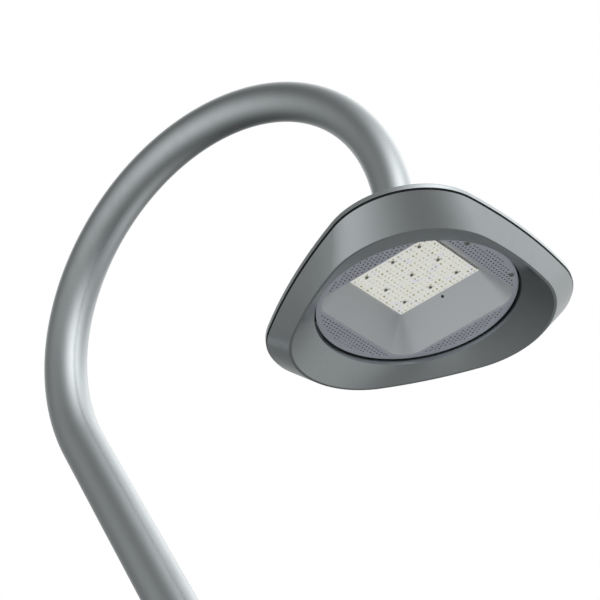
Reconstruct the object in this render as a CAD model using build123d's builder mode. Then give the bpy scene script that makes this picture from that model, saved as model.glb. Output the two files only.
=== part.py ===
"""Street lamp post: a swan-neck steel post with a three-lobed LED head hanging from its crook.

Frame: millimetres, +Z up.  The origin is on the ground, on the mast's axis, under the base plate.
The crook lies in the XZ plane and the head hangs on the +X side.
The head's own heights are counted from the lower edge of its throat, the round opening in
which the perforated plate sits.
"""
from build123d import *
from math import asin, cos, degrees, hypot, radians, sin, sqrt
import os

os.makedirs("parts", exist_ok=True)

# ---------------------------------------------------------------- post and neck
post_height = 4000.0          # ground to the top of the crook
crook_radius = 330.0          # bend radius of the crook, on the tube's centre line
neck_lean = 21.0              # the neck leans back this many degrees
neck_straight = 420.0         # straight leaning run between crook and lower bend
lower_bend_radius = 400.0     # bend that brings the neck back to vertical
neck_socket = 160.0           # vertical end of the neck that slips over the mast's sleeve
head_drop = 206.0             # throat's lower edge up to the start of the crook
spigot_diameter = 60.0        # tip of the neck, a standard spigot
spigot_length = 60.0
tube_taper = 0.0087           # growth of the diameter per millimetre of tube
tube_wall = 3.0

# ---------------------------------------------------------------- mast and base
base_diameter = 114.3
base_wall = 4.0
base_top = 1000.0             # top of the base section
shoulder_height = 45.0
plate_side = 350.0
plate_thickness = 20.0
plate_corner = 20.0
anchor_pitch = 250.0
anchor_hole = 24.0
cable_hole = 90.0
gusset_reach = 70.0
gusset_height = 100.0
gusset_thickness = 8.0
sleeve_wall = 4.0
sleeve_clearance = 0.3
joint_ring_thickness = 3.0
set_screw_diameter = 8.0

# ---------------------------------------------------------------- service door
door_bottom = 520.0           # lower edge of the opening above ground
door_height = 360.0
door_chord = 85.0             # width of the opening
door_overlap = 9.0            # door past the opening, all round
door_wall = 3.0
seal_thickness = 1.5
seal_width = 6.0
hinge_pin_diameter = 5.0
hinge_barrel = 11.0
hinge_play = 0.05             # radial, pin in its moving knuckle
knuckle_length = 30.0
knuckle_inset = 20.0          # hinge foot inside the door's corner
lock_diameter = 18.0
cam_length = 21.0
cam_width = 9.0
cam_thickness = 3.0

# ---------------------------------------------------------------- head
lobe_half_angle = 53.0        # half of the arc that each rounded corner takes
top_corner_out = 123.0        # corner centres of the outline at the parting line
top_corner_radius = 118.5
rim_corner_out = 68.0         # corner centres of the outline at the lower rim
rim_corner_radius = 135.5
parting_height = 19.0         # top of the shroud
rim_depth = 18.5              # lower rim below the perforated plate
rim_width = 4.0
shroud_wall = 2.5
flange_width = 12.0
flange_thickness = 4.0
gasket_thickness = 3.0
gasket_inset = 2.2
gasket_width = 3.0
lip_height = 8.0
lip_proud = 1.5
lip_round = 2.5
cover_wall = 3.0
dome_shoulder_height = 62.0
dome_shoulder_scale = 0.75
dome_top_height = 96.0
dome_top_radius = 60.0
collar_radius = 42.0
collar_height = 146.0
spigot_clearance = 0.2
neck_tip_height = 90.0
throat_radius = 149.5         # funnel's inner edge round the perforated plate
throat_height = 20.0

# ---------------------------------------------------------------- optic tray
face_height = 8.0             # perforated plate above the throat's lower edge
plate_gap = 3.5               # perforated plate to the throat
face_thickness = 1.5
hole_pitch = 6.5
hole_diameter = 2.8
hole_margin = 9.0             # plain edge of the perforated plate
recess_length = 222.0         # mouth of the recess, across the head
recess_width = 213.0          # mouth of the recess, along the head
recess_corner = 34.5
recess_offset = 0.5           # the recess sits this far towards the street
mouth_step = 1.5              # plate opening past the recess mouth
tray_wall = 1.5
lens_length = 140.0           # lens plate along the head
lens_width = 140.0
lens_height = 46.0            # underside of the lens plate over that of the perforated plate
lens_thickness = 2.0
lens_gap = 1.0                # lens plate to the window of the tray
lens_grid = 9                 # lenses and screws on a square grid, nine by nine
lens_radius = 5.6
lens_rise = 1.4
chip_side = 3.0
chip_thickness = 0.8
board_thickness = 1.6
sink_margin = 10.0
sink_base = 5.0
fin_height = 8.0
fin_thickness = 2.0
fin_count = 15
tray_axis_inset = 8.0         # hinge axis inside the perforated plate's edge
tray_axis_height = 4.1
tray_barrel = 5.0
tray_pin_diameter = 2.5
tray_knuckle = 14.0
fastener_angle = 24.0         # quarter-turn fasteners each side of the front
fastener_inset = 8.0
fastener_diameter = 6.0
turn_bar_length = 18.0
turn_bar_width = 7.0
turn_bar_thickness = 3.0
running_gap = 0.3             # between faces that move past each other

# ---------------------------------------------------------------- inside the post
cable_diameter = 10.0
fuse_box_width = 58.0
fuse_box_depth = 42.0
fuse_box_height = 110.0
fuse_box_base_height = 640.0
board_length = 300.0
board_sheet = 6.0

# ---------------------------------------------------------------- worked-out geometry
lean = radians(neck_lean)
crook_sweep = 180.0 + neck_lean


def tube_radius(run):
    """Outer radius of the neck and mast, `run` millimetres of tube below the spigot."""
    return (spigot_diameter + tube_taper * max(run, 0.0)) / 2


tail_cone = head_drop - neck_tip_height - spigot_length
crook_length = crook_radius * radians(crook_sweep)
bend_length = lower_bend_radius * lean
run_crook = tail_cone
run_neck = run_crook + crook_length
run_bend = run_neck + neck_straight
run_socket = run_bend + bend_length
run_joint = run_socket + neck_socket

crook_top_radius = tube_radius(run_crook + crook_radius * radians(90.0))
crook_z = post_height - crook_radius - crook_top_radius
crook_x = crook_radius * cos(lean) - neck_straight * sin(lean) - lower_bend_radius * (1 - cos(lean))
head_x = crook_x + crook_radius
head_z = crook_z - head_drop
neck_top = Vector(crook_x - crook_radius * cos(lean), 0, crook_z - crook_radius * sin(lean))
neck_foot = neck_top + Vector(sin(lean), 0, -cos(lean)) * neck_straight
bend_foot_z = neck_foot.Z - lower_bend_radius * sin(lean)
joint_z = bend_foot_z - neck_socket
shaft_top = joint_z - joint_ring_thickness
shoulder_top = base_top + shoulder_height
joint_radius = tube_radius(run_joint)
shaft_foot_radius = tube_radius(run_joint + shaft_top - shoulder_top)
base_radius = base_diameter / 2
tip_z = head_z + neck_tip_height

groove_height = parting_height + gasket_thickness
lip_top = groove_height + lip_height
face_radius = throat_radius - plate_gap
corner_angles = (60.0, 180.0, 300.0)
side_angles = (0.0, 120.0, 240.0)


def head_plane(height=0.0):
    """Level plane in the head, `height` above the throat's lower edge."""
    return Plane(origin=(head_x, 0, head_z + height))


def lobed_face(height, corner_out, corner_radius, inset=0.0):
    """Closed outline of six tangent arcs: three round corners and three flatter sides.

    Every section has its joints at the same directions, so sections loft without a twist.
    A corner_out of 0 gives a circle.
    """
    half = radians(lobe_half_angle)
    sixth = radians(60)
    reach = corner_radius - inset
    extra = corner_out * sin(sixth) / sin(sixth - half)
    with BuildSketch(head_plane(height)) as outline:
        with BuildLine():
            for corner_angle in corner_angles:
                middle = radians(corner_angle)
                centre = Vector(cos(middle), sin(middle)) * corner_out
                corner_turns = (middle - half, middle, middle + half)
                corner = [centre + Vector(cos(a), sin(a)) * reach for a in corner_turns]
                ThreePointArc(*corner)
                side_centre = centre - Vector(cos(middle + half), sin(middle + half)) * extra
                side_turns = (middle + half, middle + sixth, middle + 2 * sixth - half)
                side = [side_centre + Vector(cos(a), sin(a)) * (reach + extra) for a in side_turns]
                ThreePointArc(*side)
        make_face()
    return outline.sketch


def polar_point(radius, angle):
    """Point at `radius` and `angle` degrees on a level plane."""
    return (radius * cos(radians(angle)), radius * sin(radians(angle)))


def outline_reach(angle, corner_out, corner_radius):
    """Distance from the head's axis to the outline at a corner or at the middle of a side."""
    if angle in corner_angles:
        return corner_out + corner_radius
    half = radians(lobe_half_angle)
    extra = corner_out * sin(radians(60)) / sin(radians(60) - half)
    return corner_radius + extra + corner_out / 2 - extra * cos(radians(60) - half)


def save(builder, name):
    """Label the finished piece and write its STEP file."""
    builder.part.label = name
    export_step(builder.part, f"parts/{name}.step")


# ================================================================ base
with BuildPart() as base_plate:
    with BuildSketch():
        RectangleRounded(plate_side, plate_side, plate_corner)
        with GridLocations(anchor_pitch, anchor_pitch, 2, 2):
            Circle(anchor_hole / 2, mode=Mode.SUBTRACT)
        Circle(cable_hole / 2, mode=Mode.SUBTRACT)
    extrude(amount=plate_thickness)
    chamfer(base_plate.faces().sort_by(Axis.Z)[-1].outer_wire().edges(), 2)
save(base_plate, "base_plate")

opening_half = degrees(asin(door_chord / 2 / base_radius))
with BuildPart() as base_section:
    with BuildSketch(Plane.XY.offset(plate_thickness)):
        Circle(base_radius)
        Circle(base_radius - base_wall, mode=Mode.SUBTRACT)
    extrude(amount=base_top - plate_thickness)
    with BuildSketch(Plane.YZ):
        with Locations((0, door_bottom + door_height / 2)):
            RectangleRounded(door_chord, door_height, 15)
    extrude(amount=-base_diameter, mode=Mode.SUBTRACT)
save(base_section, "base_section")

with BuildPart() as base_gussets:
    for turn in (0, 90, 180, 270):
        with BuildSketch(Plane.XZ.rotated((0, 0, turn))):
            with BuildLine():
                Polyline(
                    (base_radius - base_wall, plate_thickness),
                    (base_radius + gusset_reach, plate_thickness),
                    (base_radius + gusset_reach, plate_thickness + 10),
                    (base_radius + 12, plate_thickness + gusset_height),
                    (base_radius - base_wall, plate_thickness + gusset_height),
                    close=True,
                )
            make_face()
        extrude(amount=gusset_thickness / 2, both=True)
    with BuildSketch(Plane.XY.offset(plate_thickness)):
        Circle(base_radius)
    extrude(amount=gusset_height, mode=Mode.SUBTRACT)
save(base_gussets, "base_gussets")

with BuildPart() as shoulder_ring:
    with BuildSketch(Plane.XZ):
        with BuildLine():
            Polyline(
                (base_radius - base_wall, base_top),
                (base_radius, base_top),
                (shaft_foot_radius, shoulder_top),
                (shaft_foot_radius - tube_wall, shoulder_top),
                close=True,
            )
        make_face()
    revolve(axis=Axis.Z)
save(shoulder_ring, "shoulder_ring")

# ================================================================ mast shaft and joint
with BuildPart() as mast_shaft:
    with BuildSketch(Plane.XZ):
        with BuildLine():
            Polyline(
                (shaft_foot_radius - tube_wall, shoulder_top),
                (shaft_foot_radius, shoulder_top),
                (joint_radius, shaft_top),
                (joint_radius - tube_wall, shaft_top),
                close=True,
            )
        make_face()
    revolve(axis=Axis.Z)
save(mast_shaft, "mast_shaft")

sleeve_top = joint_z + neck_socket - 10
sleeve_foot = shaft_top - neck_socket
sleeve_radius = tube_radius(run_socket) - tube_wall - sleeve_clearance
with BuildPart() as joint_sleeve:
    with BuildSketch(Plane.XY.offset(sleeve_foot)):
        Circle(sleeve_radius)
        Circle(sleeve_radius - sleeve_wall, mode=Mode.SUBTRACT)
    extrude(amount=sleeve_top - sleeve_foot)
save(joint_sleeve, "joint_sleeve")

with BuildPart() as joint_ring:
    with BuildSketch(Plane.XY.offset(shaft_top)):
        Circle(joint_radius)
        Circle(sleeve_radius + sleeve_clearance, mode=Mode.SUBTRACT)
    extrude(amount=joint_ring_thickness)
save(joint_ring, "joint_ring")


def disc_face(plane, radius):
    """Round face on a plane."""
    with BuildSketch(plane) as disc:
        Circle(radius)
    return disc.sketch


def growing_bend(path, run_start, run_end, depth):
    """Tube form along an arc, as wide as the tube is at each end of the arc."""
    ends = [
        disc_face(Plane(origin=path @ at, z_dir=path % at), tube_radius(run) - depth)
        for at, run in ((0, run_start), (1, run_end))
    ]
    with BuildPart() as bend:
        sweep(ends, path=path, multisection=True)
    return bend.part


def neck_form(depth):
    """The neck's form, `depth` under its outer skin: 0 is the outside, the wall is the bore."""
    leaning = Vector(sin(lean), 0, -cos(lean))
    crook_centre = Plane(origin=(crook_x, 0, crook_z), x_dir=(1, 0, 0), z_dir=(0, -1, 0))
    bend_centre = Plane(origin=(-lower_bend_radius, 0, bend_foot_z), x_dir=(1, 0, 0), z_dir=(0, -1, 0))
    with BuildLine(crook_centre) as crook_path:
        CenterArc((0, 0), crook_radius, 0, crook_sweep)
    with BuildLine(bend_centre) as bend_path:
        CenterArc((0, 0), lower_bend_radius, neck_lean, -neck_lean)
    spigot_end = Plane(origin=(head_x, 0, tip_z + spigot_length))
    crook_start = Plane(origin=(head_x, 0, crook_z))
    with BuildPart() as form:
        extrude(
            disc_face(Plane(origin=(head_x, 0, tip_z)), spigot_diameter / 2 - depth),
            amount=spigot_length,
        )
        loft([
            disc_face(spigot_end, tube_radius(0) - depth),
            disc_face(crook_start, tube_radius(run_crook) - depth),
        ])
        add(growing_bend(crook_path.line, run_crook, run_neck, depth))
        loft(
            [
                disc_face(Plane(origin=neck_top, z_dir=leaning), tube_radius(run_neck) - depth),
                disc_face(Plane(origin=neck_foot, z_dir=leaning), tube_radius(run_bend) - depth),
            ]
        )
        add(growing_bend(bend_path.line, run_bend, run_socket, depth))
        loft(
            [
                disc_face(Plane.XY.offset(bend_foot_z), tube_radius(run_socket) - depth),
                disc_face(Plane.XY.offset(joint_z), tube_radius(run_joint) - depth),
            ]
        )
    return form.part


set_screw_heights = (joint_z + 40, joint_z + 110)
set_screw_turns = (30, 150, 270)
with BuildPart() as crook_neck:
    add(neck_form(0.0))
    add(neck_form(tube_wall), mode=Mode.SUBTRACT)
    for turn in set_screw_turns:
        with BuildSketch(Plane.YZ.rotated((0, 0, turn)).offset(sleeve_radius)):
            with Locations(*[(0, height) for height in set_screw_heights]):
                Circle(set_screw_diameter / 2)
        extrude(amount=joint_radius, mode=Mode.SUBTRACT)
save(crook_neck, "crook_neck")

with BuildPart() as neck_set_screws:
    for turn in set_screw_turns:
        with BuildSketch(Plane.YZ.rotated((0, 0, turn)).offset(sleeve_radius)):
            with Locations(*[(0, height) for height in set_screw_heights]):
                Circle(set_screw_diameter / 2 - 0.05)
                RegularPolygon(set_screw_diameter * 0.29, 6, mode=Mode.SUBTRACT)
        extrude(amount=joint_radius + 1 - sleeve_radius)
save(neck_set_screws, "neck_set_screws")

with BuildPart() as tip_grommet:
    with BuildSketch(Plane(origin=(head_x, 0, tip_z))):
        Circle(spigot_diameter / 2 - tube_wall)
        Circle(cable_diameter / 2, mode=Mode.SUBTRACT)
    extrude(amount=8)
save(tip_grommet, "tip_grommet")

# ================================================================ service door
door_middle = door_bottom + door_height / 2
door_inner = base_radius + seal_thickness
door_outer = door_inner + door_wall
door_half = degrees(asin((door_chord / 2 + door_overlap) / base_radius))
door_span = door_height + 2 * door_overlap
post_side = 180.0             # the door looks away from the head


def shell_face(height, inner, outer, half_angle):
    """Slice of a curved wall about the mast's axis, centred on the door's side."""
    edge_a = post_side - half_angle
    edge_b = post_side + half_angle
    with BuildSketch(Plane.XY.offset(height)) as slice_sketch:
        with BuildLine():
            outside = [polar_point(outer, angle) for angle in (edge_a, post_side, edge_b)]
            inside = [polar_point(inner, angle) for angle in (edge_a, post_side, edge_b)]
            ThreePointArc(*outside)
            ThreePointArc(*inside)
            Line(outside[0], inside[0])
            Line(outside[2], inside[2])
        make_face()
    return slice_sketch.sketch


with BuildPart() as door_seal:
    extrude(
        shell_face(door_bottom - seal_width, base_radius, door_inner, door_half),
        amount=door_height + 2 * seal_width,
    )
    with BuildSketch(Plane.YZ):
        with Locations((0, door_middle)):
            RectangleRounded(door_chord + 2, door_height, 15)
    extrude(amount=-base_diameter, mode=Mode.SUBTRACT)
save(door_seal, "door_seal")

lock_angle = post_side + opening_half - 14.0
lock_plane = Plane(
    origin=(0, 0, door_middle), x_dir=(0, 0, 1), z_dir=(cos(radians(lock_angle)), sin(radians(lock_angle)), 0)
)
with BuildPart() as service_door:
    extrude(shell_face(door_bottom - door_overlap, door_inner, door_outer, door_half), amount=door_span)
    fillet(service_door.edges().filter_by(lambda edge: edge.length < door_wall * 1.2), 8)
    extrude(disc_face(lock_plane, lock_diameter / 2), amount=base_diameter, mode=Mode.SUBTRACT)
save(service_door, "service_door")

# hinge: the axis stands just outside the door's edge
hinge_axis_radius = door_outer + hinge_barrel / 2 - 1.0
hinge_angle = post_side - door_half - 8.0
hinge_x, hinge_y = polar_point(hinge_axis_radius, hinge_angle)
knuckle_feet = (
    door_bottom - door_overlap + knuckle_inset,
    door_bottom + door_height + door_overlap - knuckle_inset - 2 * knuckle_length,
)


def barrel_face(height, radius):
    """Round section on the hinge axis."""
    return disc_face(Plane(origin=(hinge_x, hinge_y, height)), radius)


def leaf_face(height, towards, depth_in):
    """Strip from the hinge axis to the wall at the angle `towards`."""
    toe = polar_point(depth_in, towards)
    run = Vector(toe[0] - hinge_x, toe[1] - hinge_y, 0)
    strip_plane = Plane(origin=(hinge_x, hinge_y, height), x_dir=run, z_dir=(0, 0, 1))
    with BuildSketch(strip_plane) as strip:
        with Locations((run.length / 2, 0)):
            Rectangle(run.length, 4.0)
    return strip.sketch


mast_knuckle_angle = hinge_angle - 7.0
door_knuckle_angle = post_side - door_half + 10.0
with BuildPart() as mast_knuckles:
    for foot in knuckle_feet:
        extrude(leaf_face(foot, mast_knuckle_angle, base_radius - 1), amount=knuckle_length)
        extrude(barrel_face(foot, hinge_barrel / 2), amount=knuckle_length)
        extrude(barrel_face(foot, hinge_pin_diameter / 2), amount=knuckle_length, mode=Mode.SUBTRACT)
    extrude(
        disc_face(Plane.XY.offset(door_bottom - 40), base_radius),
        amount=door_height + 80,
        mode=Mode.SUBTRACT,
    )
save(mast_knuckles, "mast_knuckles")

with BuildPart() as door_knuckles:
    for foot in knuckle_feet:
        start = foot + knuckle_length + running_gap
        length = knuckle_length - 2 * running_gap
        extrude(leaf_face(start, door_knuckle_angle, door_outer - 1), amount=length)
        extrude(barrel_face(start, hinge_barrel / 2), amount=length)
        extrude(barrel_face(start, hinge_pin_diameter / 2 + hinge_play), amount=length, mode=Mode.SUBTRACT)
    extrude(
        disc_face(Plane.XY.offset(door_bottom - 40), door_outer),
        amount=door_height + 80,
        mode=Mode.SUBTRACT,
    )
save(door_knuckles, "door_knuckles")

with BuildPart() as door_hinge_pins:
    for foot in knuckle_feet:
        extrude(barrel_face(foot, hinge_pin_diameter / 2), amount=2 * knuckle_length)
        extrude(barrel_face(foot - 2, hinge_barrel / 2 - 1), amount=2)
save(door_hinge_pins, "door_hinge_pins")

cam_face = base_radius - base_wall - 3.5 - cam_thickness - 3.0
with BuildPart() as lock_barrel:
    extrude(
        disc_face(lock_plane.offset(cam_face + cam_thickness + 0.5), lock_diameter / 2 - 0.1),
        amount=door_outer - cam_face - cam_thickness,
    )
    extrude(disc_face(lock_plane.offset(door_outer), lock_diameter / 2 + 2), amount=2)
    extrude(disc_face(lock_plane.offset(cam_face), 4.0 + hinge_play), amount=base_radius, mode=Mode.SUBTRACT)
save(lock_barrel, "lock_barrel")

with BuildPart() as lock_cam:
    extrude(disc_face(lock_plane.offset(cam_face), 4.0), amount=door_outer + 1 - cam_face)
    with BuildSketch(lock_plane.offset(door_outer - 4)):
        RegularPolygon(2.8, 3)
    extrude(amount=10, mode=Mode.SUBTRACT)
    with BuildSketch(lock_plane.offset(cam_face)):
        with Locations(((cam_length - cam_width / 2) / 2, 0)):
            RectangleRounded(cam_length + cam_width / 2, cam_width, cam_width / 2 - 0.1)
    extrude(amount=cam_thickness)
save(lock_cam, "lock_cam")

# ================================================================ gear inside the mast
gear_sheet_x = 12.0
with BuildPart() as gear_board:
    with BuildSketch(Plane.YZ.offset(gear_sheet_x)):
        with Locations((0, door_middle)):
            RectangleRounded(80, board_length, 6)
    extrude(amount=board_sheet)
save(gear_board, "gear_board")

box_middle = fuse_box_base_height + fuse_box_height / 2
with BuildPart() as board_brackets:
    for height in (door_middle - board_length / 2 + 20, door_middle + board_length / 2 - 20):
        with BuildSketch(Plane.XY.offset(height)):
            Circle(base_radius - base_wall)
            with Locations((gear_sheet_x + board_sheet - base_diameter, 0)):
                Rectangle(2 * base_diameter, 2 * base_diameter, mode=Mode.SUBTRACT)
            Circle(30, mode=Mode.SUBTRACT)
        extrude(amount=6)
save(board_brackets, "board_brackets")

with BuildPart() as fuse_box:
    with BuildSketch(Plane.YZ.offset(gear_sheet_x)):
        with Locations((0, box_middle)):
            RectangleRounded(fuse_box_width, fuse_box_height, 4)
    extrude(amount=-fuse_box_depth)
    with BuildSketch(Plane.YZ.offset(gear_sheet_x - 3)):
        with Locations((0, box_middle)):
            RectangleRounded(fuse_box_width - 6, fuse_box_height - 6, 2)
    extrude(amount=-fuse_box_depth, mode=Mode.SUBTRACT)
    extrude(
        disc_face(Plane.XY.offset(box_middle), cable_diameter / 2 + 1),
        amount=fuse_box_height,
        mode=Mode.SUBTRACT,
    )
save(fuse_box, "fuse_box")

with BuildPart() as fuse_box_cover:
    with BuildSketch(Plane.YZ.offset(gear_sheet_x - fuse_box_depth)):
        with Locations((0, box_middle)):
            RectangleRounded(fuse_box_width, fuse_box_height, 4)
    extrude(amount=-3)
save(fuse_box_cover, "fuse_box_cover")

with BuildPart() as fuse_holder:
    with BuildSketch(Plane.XY.offset(fuse_box_base_height + 12)):
        with Locations((gear_sheet_x - 3 - 13, 0)):
            RectangleRounded(26, 34, 2)
    extrude(amount=30)
save(fuse_holder, "fuse_holder")

terminal_top = fuse_box_base_height + 84
with BuildPart() as mast_terminals:
    with BuildSketch(Plane.XY.offset(terminal_top - 24)):
        with Locations((gear_sheet_x - 3 - 13, 0)):
            Rectangle(26, 44)
            with GridLocations(1, 10, 1, 4):
                Circle(3, mode=Mode.SUBTRACT)
    extrude(amount=24)
save(mast_terminals, "mast_terminals")

with BuildPart() as cable_gland:
    box_roof = fuse_box_base_height + fuse_box_height
    extrude(disc_face(Plane.XY.offset(box_roof), 11), amount=6)
    with BuildSketch(Plane.XY.offset(box_roof + 6)):
        RegularPolygon(11, 6)
    extrude(amount=10)
    extrude(disc_face(Plane.XY.offset(box_roof - 10), cable_diameter / 2 + 1), amount=10)
    extrude(disc_face(Plane.XY.offset(box_roof - 20), cable_diameter / 2), amount=60, mode=Mode.SUBTRACT)
save(cable_gland, "cable_gland")

stud_plane = Plane(origin=(0, 0, door_bottom - 60), z_dir=(-1, 0, 0))
with BuildPart() as earth_stud:
    extrude(disc_face(stud_plane.offset(base_radius - base_wall - 26), 4), amount=25.8)
    for lift in (0, 9):
        with BuildSketch(stud_plane.offset(base_radius - base_wall - 12 - lift)):
            RegularPolygon(7.5, 6)
            Circle(3.9, mode=Mode.SUBTRACT)
        extrude(amount=6.5)
save(earth_stud, "earth_stud")

boss_height = 14.0
boss_radius = 4.0
boss_inset = 7.0
driver_out = 188.0
driver_depth = 38.0
driver_length = 108.0
driver_height = 20.0
surge_length = 60.0
surge_depth = 30.0
surge_height = 18.0


def corner_plane(angle, height):
    """Level plane turned so that its X axis points to a corner of the head."""
    return Plane(origin=(head_x, 0, head_z + height), x_dir=(cos(radians(angle)), sin(radians(angle)), 0))


def boss_faces(angle, depth, length):
    """Four round seats under a box of the given depth and length in one corner of the head."""
    with BuildSketch(corner_plane(angle, boss_height)) as seats:
        with Locations((driver_out, 0)):
            with GridLocations(depth - 2 * boss_inset, length - 2 * boss_inset, 2, 2):
                Circle(boss_radius)
    return seats.sketch


screw_inset = 7.5
screw_spots = []
for angle in corner_angles + side_angles:
    reach = outline_reach(angle, top_corner_out, top_corner_radius) - screw_inset
    screw_spots.append(polar_point(reach, angle))
cap_diameter = 7.0
cap_height = 3.5
cap_seat = groove_height + 5.0
cover_screw_diameter = 4.0
head_screw_heights = (collar_height - 36, collar_height - 12)
bracket_half = 66.0

# ================================================================ head: cover and shroud
with BuildPart() as head_cover:
    lip_base = lobed_face(groove_height, top_corner_out, top_corner_radius, -lip_proud)
    extrude(lip_base, amount=lip_height)
    lip_edges = head_cover.edges().filter_by(GeomType.LINE, reverse=True).group_by(Axis.Z)[-1]
    fillet(lip_edges, lip_round)
    scale = dome_shoulder_scale
    dome_out = [
        lobed_face(lip_top - lip_round, top_corner_out, top_corner_radius, lip_round - lip_proud + 0.5),
        lobed_face(dome_shoulder_height, top_corner_out * scale, top_corner_radius * scale),
        lobed_face(dome_top_height, 0, dome_top_radius),
    ]
    loft(dome_out)
    extrude(
        disc_face(head_plane(dome_top_height - 6), collar_radius),
        amount=collar_height - dome_top_height + 6,
    )
    fillet(head_cover.edges().group_by(Axis.Z)[-1], 3)
    dome_in = [
        lobed_face(lip_top - lip_round, top_corner_out, top_corner_radius, flange_width),
        lobed_face(dome_shoulder_height - cover_wall, top_corner_out * scale, top_corner_radius * scale, cover_wall),
        lobed_face(dome_top_height - cover_wall, 0, dome_top_radius - cover_wall),
    ]
    loft(dome_in, mode=Mode.SUBTRACT)
    lip_void = lobed_face(groove_height, top_corner_out, top_corner_radius, flange_width)
    extrude(lip_void, amount=lip_top - lip_round - groove_height, mode=Mode.SUBTRACT)
    neck_void = spigot_diameter / 2 + spigot_clearance
    extrude(
        disc_face(head_plane(neck_tip_height - 6), neck_void),
        amount=2 * collar_height,
        mode=Mode.SUBTRACT,
    )
    for x, y in screw_spots:
        spot = Plane(origin=(head_x + x, y, head_z))
        extrude(
            disc_face(spot.offset(groove_height), cover_screw_diameter / 2 + 0.2),
            amount=lip_height,
            mode=Mode.SUBTRACT,
        )
        extrude(
            disc_face(spot.offset(cap_seat), cap_diameter / 2 + 0.3),
            amount=lip_height * 3,
            mode=Mode.SUBTRACT,
        )
    for turn in set_screw_turns:
        collar_plane = Plane(
            origin=(head_x, 0, head_z),
            z_dir=(cos(radians(turn)), sin(radians(turn)), 0),
            x_dir=(0, 0, 1),
        )
        with BuildSketch(collar_plane):
            with Locations(*[(height, 0) for height in head_screw_heights]):
                Circle(set_screw_diameter / 2)
        extrude(amount=collar_radius + 5, mode=Mode.SUBTRACT)
save(head_cover, "head_cover")

with BuildPart() as cover_gasket:
    extrude(
        lobed_face(parting_height, top_corner_out, top_corner_radius, gasket_inset),
        amount=gasket_thickness,
    )
    gasket_void = lobed_face(parting_height, top_corner_out, top_corner_radius, gasket_inset + gasket_width)
    extrude(gasket_void, amount=gasket_thickness, mode=Mode.SUBTRACT)
save(cover_gasket, "cover_gasket")


def funnel_form(skin):
    """Space of the funnel and throat, grown by `skin`; the throat runs up to its top."""
    with BuildPart() as form:
        loft(
            [
                lobed_face(-rim_depth, rim_corner_out, rim_corner_radius, rim_width - skin),
                lobed_face(0, 0, throat_radius + skin),
            ]
        )
        extrude(disc_face(head_plane(0), throat_radius + skin), amount=throat_height)
    return form.part


def shroud_form():
    """The shroud's outside, from its rim up to the parting line."""
    with BuildPart() as form:
        loft(
            [
                lobed_face(-rim_depth, rim_corner_out, rim_corner_radius),
                lobed_face(parting_height, top_corner_out, top_corner_radius),
            ]
        )
    return form.part


with BuildPart() as gear_seats:
    extrude(boss_faces(60, driver_depth, driver_length), amount=-boss_height - rim_depth)
    extrude(boss_faces(300, surge_depth, surge_length), amount=-boss_height - rim_depth)
    add(shroud_form(), mode=Mode.INTERSECT)

with BuildPart() as shroud:
    add(shroud_form())
    share = flange_thickness / (parting_height + rim_depth)
    drop_out = top_corner_out + (rim_corner_out - top_corner_out) * share
    drop_radius = top_corner_radius + (rim_corner_radius - top_corner_radius) * share
    loft(
        [
            lobed_face(-rim_depth, rim_corner_out, rim_corner_radius, shroud_wall),
            lobed_face(parting_height - flange_thickness, drop_out, drop_radius, shroud_wall),
        ],
        mode=Mode.SUBTRACT,
    )
    flange_void = lobed_face(parting_height - flange_thickness, top_corner_out, top_corner_radius, flange_width)
    extrude(flange_void, amount=flange_thickness, mode=Mode.SUBTRACT)
    add(funnel_form(shroud_wall))
    add(gear_seats.part)
    add(funnel_form(0.0), mode=Mode.SUBTRACT)
    for x, y in screw_spots:
        spot = Plane(origin=(head_x + x, y, head_z))
        extrude(
            disc_face(spot.offset(parting_height - flange_thickness), cover_screw_diameter / 2),
            amount=flange_thickness,
            mode=Mode.SUBTRACT,
        )
save(shroud, "shroud")


# ================================================================ gear in the head
with BuildPart() as driver:
    with BuildSketch(corner_plane(60, boss_height)):
        with Locations((driver_out, 0)):
            RectangleRounded(driver_depth, driver_length, 4)
    extrude(amount=driver_height)
    chamfer(driver.faces().sort_by(Axis.Z)[-1].edges(), 1.5)
save(driver, "driver")

with BuildPart() as surge_protector:
    with BuildSketch(corner_plane(300, boss_height)):
        with Locations((driver_out, 0)):
            RectangleRounded(surge_depth, surge_length, 3)
    extrude(amount=surge_height)
    chamfer(surge_protector.faces().sort_by(Axis.Z)[-1].edges(), 1.5)
save(surge_protector, "surge_protector")

# ================================================================ optic tray
tray_z = head_z + face_height


def tray_plane(height=0.0):
    """Level plane on the head's axis, `height` over the perforated plate's underside."""
    return Plane(origin=(head_x, 0, tray_z + height))


face_recess = (recess_width + 2 * mouth_step, recess_length + 2 * mouth_step, recess_corner + mouth_step)
board_top = lens_height + lens_thickness + chip_thickness + board_thickness
window_width = lens_length + 2 * lens_gap
window_length = lens_width + 2 * lens_gap
recess_x = recess_offset
row_pitch = hole_pitch * sqrt(3) / 2
hole_limit = face_radius - hole_margin
hole_spots = []
for row in range(-28, 29):
    for column in range(-28, 29):
        hole_x = row * row_pitch
        hole_y = (column + (row % 2) / 2) * hole_pitch
        clear_x = abs(hole_x - recess_x) - face_recess[0] / 2
        clear_y = abs(hole_y) - face_recess[1] / 2
        if hypot(hole_x, hole_y) < hole_limit and max(clear_x, clear_y) > hole_diameter:
            hole_spots.append((hole_x, hole_y))

axis_x = -face_radius + tray_axis_inset
leaf_reach = 14.0
with BuildPart() as perforated_plate:
    with BuildSketch(tray_plane()):
        Circle(face_radius)
        with Locations((recess_x, 0)):
            RectangleRounded(*face_recess, mode=Mode.SUBTRACT)
        with Locations(*hole_spots):
            Circle(hole_diameter / 2, mode=Mode.SUBTRACT)
        for angle in (-fastener_angle, fastener_angle):
            with Locations(polar_point(face_radius - fastener_inset, angle)):
                Circle(fastener_diameter / 2 + hinge_play, mode=Mode.SUBTRACT)
    extrude(amount=face_thickness)
save(perforated_plate, "perforated_plate")


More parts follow.
